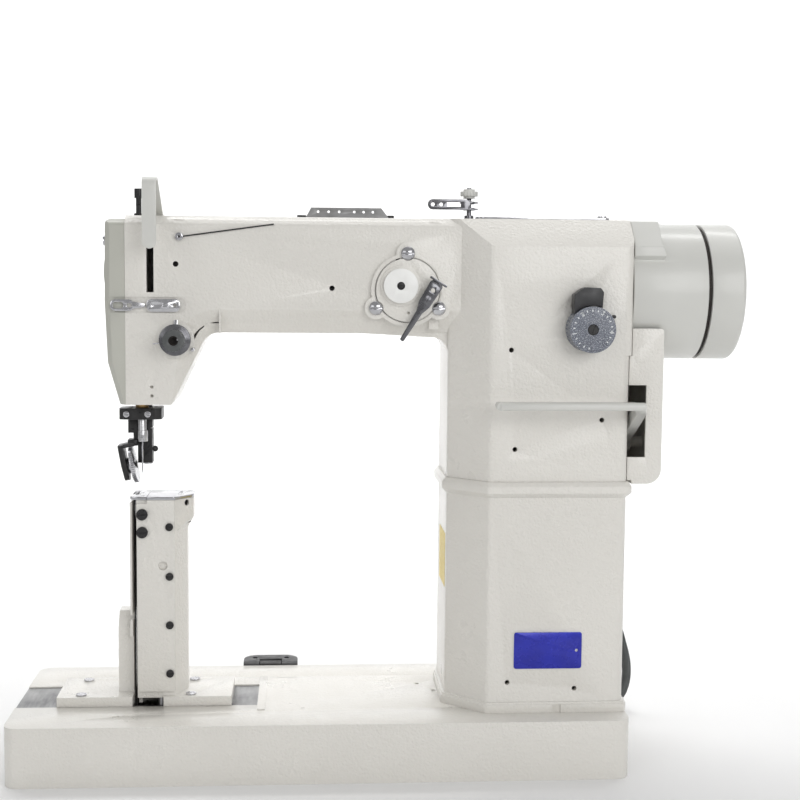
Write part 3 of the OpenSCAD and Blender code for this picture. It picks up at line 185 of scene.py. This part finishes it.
EXTRA = {
    # The face plate is coloured a darker, greener grey than the enamel of the other castings.
    "face_plate_darker": surface("face_plate_darker", (0.50, 0.50, 0.45), (0.47, 0.47, 0.42), 12, (0.32, 0.45),
                          (700, 0.0001), coat=0.15, fine=(2400, 0.00002)),
    "dark_chrome": surface("dark_chrome", (0.20, 0.20, 0.21), (0.12, 0.12, 0.13), 70, (0.14, 0.3),
                           (600, 0.00002), metallic=1.0, fine=(2500, 0.000008)),
    "knob_grey": surface("knob_grey", (0.12, 0.125, 0.125), (0.085, 0.09, 0.09), 90, (0.3, 0.45),
                         (1400, 0.00003), metallic=0.4),
    "satin_steel": surface("satin_steel", (0.30, 0.30, 0.30), (0.22, 0.22, 0.22), 70, (0.45, 0.6),
                           (600, 0.00002), metallic=0.6, fine=(2500, 0.000008)),
    "groove_steel": surface("groove_steel", (0.40, 0.40, 0.40), (0.17, 0.17, 0.175), 24, (0.3, 0.5),
                            (260, 0.00006), metallic=0.9, stretch=(6, 1, 1)),
    "label_white": surface("label_white", (0.82, 0.84, 0.84), (0.76, 0.78, 0.78), 200, (0.4, 0.5),
                           (1500, 0.00001)),
    "label_yellow": surface("label_yellow", (0.74, 0.58, 0.13), (0.66, 0.50, 0.10), 200, (0.35, 0.5),
                            (1500, 0.00001)),
    # Painted shade: near black, put on hole insides, grooves and gaps to stand for the shadow in them.
    "painted_shade": surface("painted_shade", (0.02, 0.014, 0.010), (0.012, 0.009, 0.008), 60, (0.6, 0.8),
                        (900, 0.00004)),
}


# ---- meshes ----
def add_object(name, mesh, material, body="frame"):
    """A finished piece that rides on a body."""
    obj = bpy.data.objects.new(name, mesh)
    bpy.context.scene.collection.objects.link(obj)
    mesh.materials.clear()
    mesh.materials.append(material)
    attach(obj, body)
    return obj


def apply_modifiers(obj):
    """The piece's mesh as its modifiers leave it."""
    graph = bpy.context.evaluated_depsgraph_get()
    mesh = bpy.data.meshes.new_from_object(obj.evaluated_get(graph))
    obj.modifiers.clear()
    obj.data = mesh
    return obj


def smooth_by_angle(mesh, degrees):
    """Smooth shading, with edges sharper than this left crisp."""
    mesh.shade_smooth()
    mesh.set_sharp_from_angle(angle=math.radians(degrees))


def cleaned(node):
    """A copy of a CAD node's mesh, with its corners joined and its flat triangles merged into faces."""
    bm = bmesh.new()
    bm.from_mesh(NODES[node].data)
    bmesh.ops.remove_doubles(bm, verts=bm.verts, dist=0.004 * MM)
    bmesh.ops.dissolve_limit(bm, angle_limit=math.radians(0.4), verts=bm.verts, edges=bm.edges)
    mesh = bpy.data.meshes.new(node + "_mesh")
    bm.to_mesh(mesh)
    bm.free()
    return mesh


def eased(node, width, segments=2, angle=32):
    """Stands for a CAD node: the same shape with its sharp edges rounded."""
    obj = add_object(node + "_look", cleaned(node), MATERIALS[SLOT_OF[node]], BODY_OF[node])
    bevel = obj.modifiers.new("edges", "BEVEL")
    bevel.width = width * MM
    bevel.segments = segments
    bevel.limit_method = "ANGLE"
    bevel.angle_limit = math.radians(angle)
    bevel.use_clamp_overlap = True
    bevel.miter_outer = "MITER_ARC"
    apply_modifiers(obj)
    smooth_by_angle(obj.data, 34)
    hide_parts(node)
    return obj


def frames(path):
    """Centre, and two square directions, at each point of a path, with as little twist as can be."""
    out = []
    last = None
    for i, p in enumerate(path):
        along = (path[min(i + 1, len(path) - 1)] - path[max(i - 1, 0)]).normalized()
        if last is None:
            last = along.orthogonal().normalized()
        last = (last - along * last.dot(along)).normalized()
        out.append((p, last.copy(), along.cross(last)))
    return out


def tube(name, path, radius, sides=16):
    """Closed tube mesh. radius is a function of (number of the path point, angle)."""
    bm = bmesh.new()
    rings = []
    for i, (p, a, b) in enumerate(frames(path)):
        ring = []
        for k in range(sides):
            angle = 2 * math.pi * k / sides
            r = radius(i, angle)
            ring.append(bm.verts.new(p + a * (r * math.cos(angle)) + b * (r * math.sin(angle))))
        rings.append(ring)
    for one, two in zip(rings, rings[1:]):
        for k in range(sides):
            bm.faces.new((one[k], one[(k + 1) % sides], two[(k + 1) % sides], two[k]))
    bm.faces.new(list(reversed(rings[0])))
    bm.faces.new(rings[-1])
    mesh = bpy.data.meshes.new(name)
    bm.to_mesh(mesh)
    bm.free()
    smooth_by_angle(mesh, 50)
    return mesh


def curve_through(points, step):
    """Points of a smooth Catmull-Rom curve through the given ones, about step apart."""
    ends = [points[0] * 2 - points[1], *points, points[-1] * 2 - points[-2]]
    out = []
    for a, b, c, d in zip(ends, ends[1:], ends[2:], ends[3:]):
        count = max(2, math.ceil((c - b).length / step))
        for k in range(count):
            t = k / count
            out.append(0.5 * ((2 * b) + (c - a) * t + (2 * a - 5 * b + 4 * c - d) * t * t
                              + (3 * b - a - 3 * c + d) * t * t * t))
    return [*out, points[-1]]


# ---- cable ----
CABLE = [
    (0.225, 0.096, 0.190), (0.225, 0.104, 0.190), (0.228, 0.111, 0.187), (0.234, 0.115, 0.180),
    (0.241, 0.116, 0.170), (0.249, 0.115, 0.157), (0.257, 0.112, 0.143), (0.266, 0.107, 0.127),
    (0.275, 0.101, 0.110), (0.283, 0.095, 0.093), (0.289, 0.090, 0.076), (0.293, 0.087, 0.060),
    (0.295, 0.087, 0.045), (0.295, 0.090, 0.031), (0.293, 0.096, 0.018), (0.289, 0.105, 0.009),
    (0.283, 0.116, 0.005), (0.276, 0.128, 0.005), (0.269, 0.140, 0.005), (0.262, 0.152, 0.005),
    (0.258, 0.163, 0.005), (0.257, 0.175, 0.005),
]
COIL_AT = Vector((0.205, 0.175, 0.005))
COIL_R = 0.052
COIL_SWEEP = 785
LIFT_FROM = 640


def coil_points():
    """The cable's turns on the floor, then its rise into the connector that lies on them."""
    out = []
    for degrees in range(15, COIL_SWEEP + 1, 15):
        turned = min(degrees, LIFT_FROM)
        lift = max(0, degrees - LIFT_FROM) / (COIL_SWEEP - LIFT_FROM)
        r = COIL_R - 0.0091 * turned / 360 - lift * 0.0018
        a = math.radians(degrees)
        z = 0.012 * lift * lift * (3 - 2 * lift)
        out.append(COIL_AT + Vector((r * math.cos(a), r * math.sin(a), z)))
    return out


def strand_radius(i, angle):
    """Outline of three strands that lie round each other under one sheath."""
    turn = angle - i * 0.075
    lobe = (turn % (2 * math.pi / 3)) - math.pi / 3
    reach, r = 0.0017, 0.0028
    return reach * math.cos(lobe) + math.sqrt(r * r - (reach * math.sin(lobe)) ** 2)


def make_cable():
    route = [Vector(p) for p in CABLE] + coil_points()
    path = curve_through(route, 0.003)
    mesh = tube("motor_cable_mesh", path, strand_radius, 24)
    cable = add_object("cable", mesh, MATERIALS["cable_grey"], "frame")
    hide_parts("motor_cable", "cable_coil")
    return cable, path


def lathe(name, profile, axis, at, segments=64):
    """Solid of revolution. profile is a list of (distance along the axis, radius), from end to end."""
    bm = bmesh.new()
    axis = Vector(axis).normalized()
    a = axis.orthogonal().normalized()
    b = axis.cross(a)
    rings = []
    for d, r in profile:
        p = Vector(at) + axis * d
        if r < 1e-7:
            rings.append([bm.verts.new(p)])
        else:
            angles = [2 * math.pi * k / segments for k in range(segments)]
            rings.append([bm.verts.new(p + a * r * math.cos(t) + b * r * math.sin(t)) for t in angles])
    for one, two in zip(rings, rings[1:]):
        for k in range(segments):
            n = (k + 1) % segments
            if len(one) == 1:
                bm.faces.new((one[0], two[n], two[k]))
            elif len(two) == 1:
                bm.faces.new((one[k], one[n], two[0]))
            else:
                bm.faces.new((one[k], one[n], two[n], two[k]))
    if len(rings[0]) > 1:
        bm.faces.new(list(reversed(rings[0])))
    if len(rings[-1]) > 1:
        bm.faces.new(rings[-1])
    bmesh.ops.recalc_face_normals(bm, faces=bm.faces)
    mesh = bpy.data.meshes.new(name)
    bm.to_mesh(mesh)
    bm.free()
    smooth_by_angle(mesh, 32)
    return mesh


def slab(name, outline, low, high, place, ease=0.0):
    """Plate of the given outline, from low to high, set by place(u, v, w), with edges rounded by ease."""
    bm = bmesh.new()
    bottom = [bm.verts.new(place(u, v, low)) for u, v in outline]
    top = [bm.verts.new(place(u, v, high)) for u, v in outline]
    count = len(outline)
    bm.faces.new(list(reversed(bottom)))
    bm.faces.new(top)
    for k in range(count):
        n = (k + 1) % count
        bm.faces.new((bottom[k], bottom[n], top[n], top[k]))
    bmesh.ops.recalc_face_normals(bm, faces=bm.faces)
    if ease:
        sharp = [e for e in bm.edges if e.calc_face_angle(0) > math.radians(40)]
        bmesh.ops.bevel(bm, geom=sharp, offset=ease, segments=2, affect="EDGES", profile=0.5)
    mesh = bpy.data.meshes.new(name)
    bm.to_mesh(mesh)
    bm.free()
    smooth_by_angle(mesh, 40)
    return mesh


def round_box(x0, y0, x1, y1, r, n=6):
    """Outline of a rectangle with round corners."""
    out = []
    corners = ((x1 - r, y1 - r, 0), (x0 + r, y1 - r, 90), (x0 + r, y0 + r, 180), (x1 - r, y0 + r, 270))
    for cx, cy, start in corners:
        for k in range(n + 1):
            a = math.radians(start + 90 * k / n)
            out.append((cx + r * math.cos(a), cy + r * math.sin(a)))
    return out


def make_gland():
    """Nut and ribbed boot that taper onto the cable."""
    profile = [(0, 0.0), (0, 0.0085), (0.0006, 0.009), (0.0054, 0.009), (0.006, 0.0085), (0.006, 0.0076)]
    for k in range(8):
        r = 0.0075 - 0.0022 * k / 8
        start = 0.0065 + 0.0023 * k
        groove = r - 0.0009
        profile += [(start, r), (start + 0.0013, r), (start + 0.0015, groove), (start + 0.0021, groove)]
    profile += [(0.0255, 0.0052), (0.026, 0.0049), (0.026, 0.0)]
    x, _, z = CABLE[0]
    gland = add_object("cable_boot", lathe("cable_boot", profile, (0, 1, 0), (x, 0.070, z), 48),
                       MATERIALS["black_plastic"], "frame")
    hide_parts("cable_gland")
    return gland


def make_connector():
    """Multi-pin connector that lies on the coil: shell, latch and a mouth with its pins."""
    turn = Matrix.Translation((0.2194, 0.2058, 0)) @ Matrix.Rotation(math.radians(155), 4, "Z")

    def place(u, v, w):
        return turn @ Vector((u, v, w))

    def across(v, w, u):
        return turn @ Vector((u, v, w))

    def black_piece(name, outline, low, high, set_by, ease):
        mesh = slab(name, outline, low, high, set_by, ease)
        return add_object(name, mesh, MATERIALS["black_plastic"], "frame")

    body = round_box(-0.0098, 0.0108, 0.0098, 0.0236, 0.0016)
    shell = black_piece("connector_shell", body, 0.010, 0.036, across, 0.0004)
    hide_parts("cable_connector")
    pieces = [shell]
    collar = round_box(-0.0106, 0.0102, 0.0106, 0.0238, 0.002)
    pieces.append(black_piece("connector_collar", collar, 0.034, 0.0375, across, 0.0004))
    mouth = round_box(-0.0088, 0.0116, 0.0088, 0.0226, 0.0015)
    pieces.append(black_piece("connector_mouth", mouth, 0.037, 0.0415, across, 0.0003))
    neck = round_box(-0.006, 0.0125, 0.006, 0.0215, 0.003)
    pieces.append(black_piece("connector_neck", neck, 0.001, 0.011, across, 0.0008))
    latch = round_box(0.008, -0.0035, 0.030, 0.0035, 0.0012)
    pieces.append(black_piece("connector_latch", latch, 0.0236, 0.0248, place, 0.0003))
    for row in (0.0145, 0.0197):
        for column in range(4):
            u = -0.006 + 0.004 * column
            pin = round_box(u - 0.0006, row - 0.0006, u + 0.0006, row + 0.0006, 0.0002)
            name = f"connector_pin_{column}_{round(row * 1e4)}"
            mesh = slab(name, pin, 0.041, 0.042, across)
            pieces.append(add_object(name, mesh, MATERIALS["bright_steel"], "frame"))
    return pieces


def make_tie():
    """Strap that holds the coil's turns."""
    a = math.radians(200)
    out = Vector((math.cos(a), math.sin(a), 0))
    side = Vector((-math.sin(a), math.cos(a), 0))
    inner, outer, thick = 0.0335, 0.0548, 0.0007
    ring = round_box(inner, 0.0001, outer, 0.0106, 0.0045)
    bm = bmesh.new()
    loops = []
    for w in (-0.005, 0.005):
        for grow in (0, 1):
            verts = []
            for r, z in ring:
                mid = Vector(((inner + outer) / 2, 0.0053))
                d = Vector((r, z)) - mid
                q = mid + d * (1 - grow * thick * 2 / 0.0106)
                verts.append(bm.verts.new(Vector((COIL_AT.x, COIL_AT.y, 0)) + out * q.x + side * w
                                          + Vector((0, 0, q.y))))
            loops.append(verts)
    count = len(ring)
    for one, two in ((0, 2), (2, 3), (3, 1), (1, 0)):
        for k in range(count):
            n = (k + 1) % count
            bm.faces.new((loops[one][k], loops[one][n], loops[two][n], loops[two][k]))
    bmesh.ops.recalc_face_normals(bm, faces=bm.faces)
    mesh = bpy.data.meshes.new("coil_tie")
    bm.to_mesh(mesh)
    bm.free()
    smooth_by_angle(mesh, 40)
    return add_object("coil_tie", mesh, MATERIALS["black_plastic"], "frame")


cable, cable_path = make_cable()
boot = make_gland()
connector = make_connector()
tie = make_tie()

# ---- castings and covers ----
EASE = {
    "arm_casting": 1.4,
    "bed_casting": 0.9, "lower_column": 0.8, "face_plate": 0.9, "column_top_cover": 0.4, "rear_cover": 0.6,
    "belt_cover": 0.8, "motor_housing": 1.0, "take_up_guard": 0.35, "thread_guides": 0.12,
    "tension_post": 0.15, "tension_discs": 0.25, "bed_hinges": 0.8, "top_thread_guide": 0.12,
    "winder_plate": 0.5, "chrome_screws": 0.3, "black_screws": 0.35, "winder_tension_guide": 0.12,
    "shaft_bushes": 0.3, "presser_guide": 0.4, "presser_spring": 0.2, "post_casting": 0.6,
    "post_front_cover": 0.35, "post_side_plate": 0.25, "needle_plate": 0.2, "timing_belt": 0.2,
    "feed_chain": 0.1, "bobbin_case": 0.2, "nameplate": 0.12, "handwheel": 0.6, "main_shaft": 0.5,
    "needle_crank": 0.5, "upper_pulley": 0.15, "lower_shaft": 0.4, "lower_pulley": 0.15, "hook_shaft": 0.3,
    "rotary_hook": 0.3, "bobbin": 0.15, "feed_wheel": 0.08, "feed_shaft": 0.3, "needle_bar": 0.25,
    "needle": 0.03, "connecting_rod": 0.3, "take_up_lever": 0.25, "presser_bar": 0.3, "roller_bracket": 0.4,
    "presser_roller": 0.12, "pressure_screw": 0.12, "tension_knob": 0.12, "winder_disc": 0.4,
    "winder_lever": 0.2, "winder_nut": 0.15, "stitch_dial": 0.25, "push_lever": 0.6, "reverse_lever": 0.8,
    "slide_plate": 0.2,
}
LOOKS = {}
for part, ease_width in EASE.items():
    LOOKS[part] = eased(part, ease_width)


def paint_faces(obj, material, test):
    """Faces whose centre and normal pass the test take a second material."""
    obj.data.materials.append(material)
    for face in obj.data.polygons:
        if test(face.center, face.normal):
            face.material_index = len(obj.data.materials) - 1


def away(c, x, z):
    """Distance of a point from the line along Y through x and z, in millimetres."""
    return math.hypot(c.x / MM - x, c.z / MM - z)


def repaint(node, material):
    """The whole piece takes another material than its slot's."""
    LOOKS[node].data.materials[0] = material


# Axes along Y, as (x, z) in millimetres, and levels in metres, that the painted faces are found by
WINDER = (71.3, 406)
DISC = (65.2, 409.5)
STUD = (-121, 363.5)
OIL_HOLE = (-120.8, 426)
GROOVE_FLOOR = (0.0470, 0.0495)
BED_BACK = 0.0903
MOTOR_END = 0.3235
SCREW_FRONT = -0.01402
WIRE_LEFT, WIRE_LOW, WIRE_BACK = -0.1150, 0.4465, -0.0395
repaint("face_plate", EXTRA["face_plate_darker"])
for plated in ("winder_lever", "winder_tension_guide", "tension_discs"):
    repaint(plated, EXTRA["dark_chrome"])
repaint("tension_knob", EXTRA["knob_grey"])
repaint("top_thread_guide", EXTRA["satin_steel"])
paint_faces(LOOKS["thread_guides"], MATERIALS["black_oxide"],
            lambda c, n: c.x > WIRE_LEFT and c.z > WIRE_LOW and c.y < WIRE_BACK)
paint_faces(LOOKS["bed_casting"], MATERIALS["black_oxide"], lambda c, n: c.y > BED_BACK)
# Painted shade: the inside of the oil hole is coloured near black for the shadow in it.
paint_faces(LOOKS["arm_casting"], EXTRA["painted_shade"], lambda c, n: away(c, *OIL_HOLE) < 2.35)
paint_faces(LOOKS["bed_casting"], EXTRA["groove_steel"],
            lambda c, n: n.z > 0.9 and GROOVE_FLOOR[0] < c.z < GROOVE_FLOOR[1] and c.x < -0.05)
# Painted shade: the groove round the winder plate is coloured near black for the shadow in it.
paint_faces(LOOKS["arm_casting"], EXTRA["painted_shade"],
            lambda c, n: 26 < away(c, *WINDER) < 27.6 and -0.0439 < c.y < -0.0420)
# Painted shade: the motor's end ring inside the gap before the handwheel is coloured near black for the
# shadow in the gap.
paint_faces(LOOKS["motor_housing"], EXTRA["painted_shade"], lambda c, n: c.x > MOTOR_END)
paint_faces(LOOKS["winder_disc"], MATERIALS["black_oxide"],
            lambda c, n: away(c, *DISC) < 3.31 and -0.0529 < c.y < -0.045)
# Painted shade: the hole in the tension stud is coloured near black for the shadow in it.
paint_faces(LOOKS["tension_post"], EXTRA["painted_shade"], lambda c, n: away(c, *STUD) < 2.95 and c.y < -0.0562)
paint_faces(LOOKS["presser_guide"], MATERIALS["bright_steel"], lambda c, n: c.y < SCREW_FRONT)


# ---- small details ----
def stroke(bm, a, b, width, height, place):
    """Raised bar from a to b, in the (u, v) plane that place sets."""
    along = (b - a).normalized()
    side = Vector((-along.y, along.x)) * width / 2
    a, b = a - along * width / 2, b + along * width / 2
    corners = (a - side, b - side, b + side, a + side)
    low = [bm.verts.new(place(p.x, p.y, 0)) for p in corners]
    high = [bm.verts.new(place(p.x, p.y, height)) for p in corners]
    bm.faces.new(low)
    bm.faces.new(list(reversed(high)))
    for k in range(4):
        n = (k + 1) % 4
        bm.faces.new((low[n], low[k], high[k], high[n]))


DIAL = (0.2203, -0.084, 0.3753)
# Strokes of the figures 1 to 4, in a box one unit wide and high
DIGITS = (
    ((0.5, 0.0), (0.5, 1.0)),
    ((0.0, 0.8), (0.5, 1.0), (0.9, 0.8), (0.85, 0.55), (0.0, 0.0), (0.95, 0.0)),
    ((0.0, 1.0), (0.9, 1.0), (0.4, 0.6), (0.9, 0.35), (0.55, 0.0), (0.0, 0.1)),
    ((0.65, 0.0), (0.65, 1.0), (0.0, 0.3), (0.95, 0.3)),
)


def make_dial_marks():
    """Raised figures and ticks round the dial's face."""
    bm = bmesh.new()
    for step in range(-4, 15):
        turn = math.radians(192 - 16.6 * step)
        out = Vector((math.cos(turn), math.sin(turn)))
        side = Vector((out.y, -out.x))

        def place(u, v, w):
            p = out * (0.0156 + v) + side * u
            return Vector((DIAL[0] + p.x, DIAL[1] - w, DIAL[2] + p.y))

        if step in (0, 4, 8, 12):
            line = [Vector(((x - 0.5) * 0.0022, (y - 0.5) * 0.0032)) for x, y in DIGITS[step // 4]]
            for a, b in zip(line, line[1:]):
                stroke(bm, a, b, 0.00055, 0.0001, place)
        else:
            stroke(bm, Vector((0, -0.0004)), Vector((0, 0.0004)), 0.0008, 0.0001, place)
    bmesh.ops.recalc_face_normals(bm, faces=bm.faces)
    mesh = bpy.data.meshes.new("dial_marks")
    bm.to_mesh(mesh)
    bm.free()
    return add_object("dial_marks", mesh, EXTRA["label_white"], "dial")


def make_dial_screw():
    """Slotted screw in the middle of the dial."""
    profile = [(0, 0.0), (0, 0.0044), (0.0007, 0.0044), (0.0011, 0.0040), (0.0011, 0.0)]
    x, _, z = DIAL
    screw = add_object("dial_screw", lathe("dial_screw", profile, (0, -1, 0), (x, -0.0836, z), 40),
                       MATERIALS["black_oxide"], "dial")
    tilt = Matrix.Translation((x, -0.0845, z)) @ Matrix.Rotation(math.radians(20), 4, "Y")
    cut = slab("slot", round_box(-0.0005, -0.006, 0.0005, 0.006, 0.0002), -0.0004, 0.0006,
               lambda u, v, w: tilt @ Vector((u, -w, v)))
    tool = bpy.data.objects.new("slot", cut)
    bpy.context.scene.collection.objects.link(tool)
    slot = screw.modifiers.new("slot", "BOOLEAN")
    slot.object = tool
    slot.solver = "EXACT"
    apply_modifiers(screw)
    smooth_by_angle(screw.data, 32)
    bpy.data.objects.remove(tool)
    return screw


def make_side_label():
    """Plain yellow label on the column's left side."""
    outline = round_box(-0.026, 0.150, 0.022, 0.197, 0.002)
    mesh = slab("side_label", outline, 0.0, 0.0002, lambda u, v, w: Vector((0.107 - w, u, v)))
    return add_object("side_label", mesh, EXTRA["label_yellow"], "frame")


make_dial_marks()
make_dial_screw()
make_side_label()


# ---- floor and light ----
def make_stage():
    """Pale floor that curves up into the backdrop."""
    bm = bmesh.new()
    outline = [(-3.0, 0.0), (1.6, 0.0)]
    for k in range(1, 13):
        a = math.radians(90 * k / 12)
        outline.append((1.6 + 0.9 * math.sin(a), 0.9 * (1 - math.cos(a))))
    outline.append((2.5, 4.0))
    rows = [[bm.verts.new((x, y, z)) for y, z in outline] for x in (-5.0, 5.0)]
    for k in range(len(outline) - 1):
        bm.faces.new((rows[0][k], rows[1][k], rows[1][k + 1], rows[0][k + 1]))
    bmesh.ops.recalc_face_normals(bm, faces=bm.faces)
    mesh = bpy.data.meshes.new("floor")
    bm.to_mesh(mesh)
    bm.free()
    mesh.shade_smooth()
    paper = surface("floor_paper", (0.86, 0.86, 0.86), (0.84, 0.84, 0.84), 3, (0.7, 0.8), (60, 0.0001))
    mesh.materials.append(paper)
    floor = bpy.data.objects.new("floor", mesh)
    bpy.context.scene.collection.objects.link(floor)


def add_light(name, at, target, size, power, colour=(1, 1, 1)):
    data = bpy.data.lights.new(name, "AREA")
    data.shape = "RECTANGLE"
    data.size, data.size_y = size
    data.energy = power
    data.color = colour
    light = bpy.data.objects.new(name, data)
    light.matrix_world = (Matrix.Translation(at)
                          @ (Vector(target) - Vector(at)).to_track_quat("-Z", "Y").to_matrix().to_4x4())
    bpy.context.scene.collection.objects.link(light)


def make_light():
    world = bpy.data.worlds.new("studio")
    world.use_nodes = True
    background = world.node_tree.nodes["Background"]
    background.inputs["Color"].default_value = (1.0, 1.0, 1.0, 1)
    background.inputs["Strength"].default_value = 0.42
    bpy.context.scene.world = world
    middle = (0, 0, 0.25)
    add_light("key", (1.0, -2.0, 1.0), middle, (1.5, 1.2), 18)
    add_light("fill", (-1.5, -1.8, 1.0), middle, (1.2, 1.2), 6)
    add_light("top", (0.1, 0.3, 1.9), middle, (2.0, 1.2), 5)
    add_light("backdrop", (0.0, 0.9, 2.2), (0, 2.4, 0.6), (3.0, 1.0), 60)
    bpy.context.scene.view_settings.view_transform = "Standard"


make_stage()
make_light()
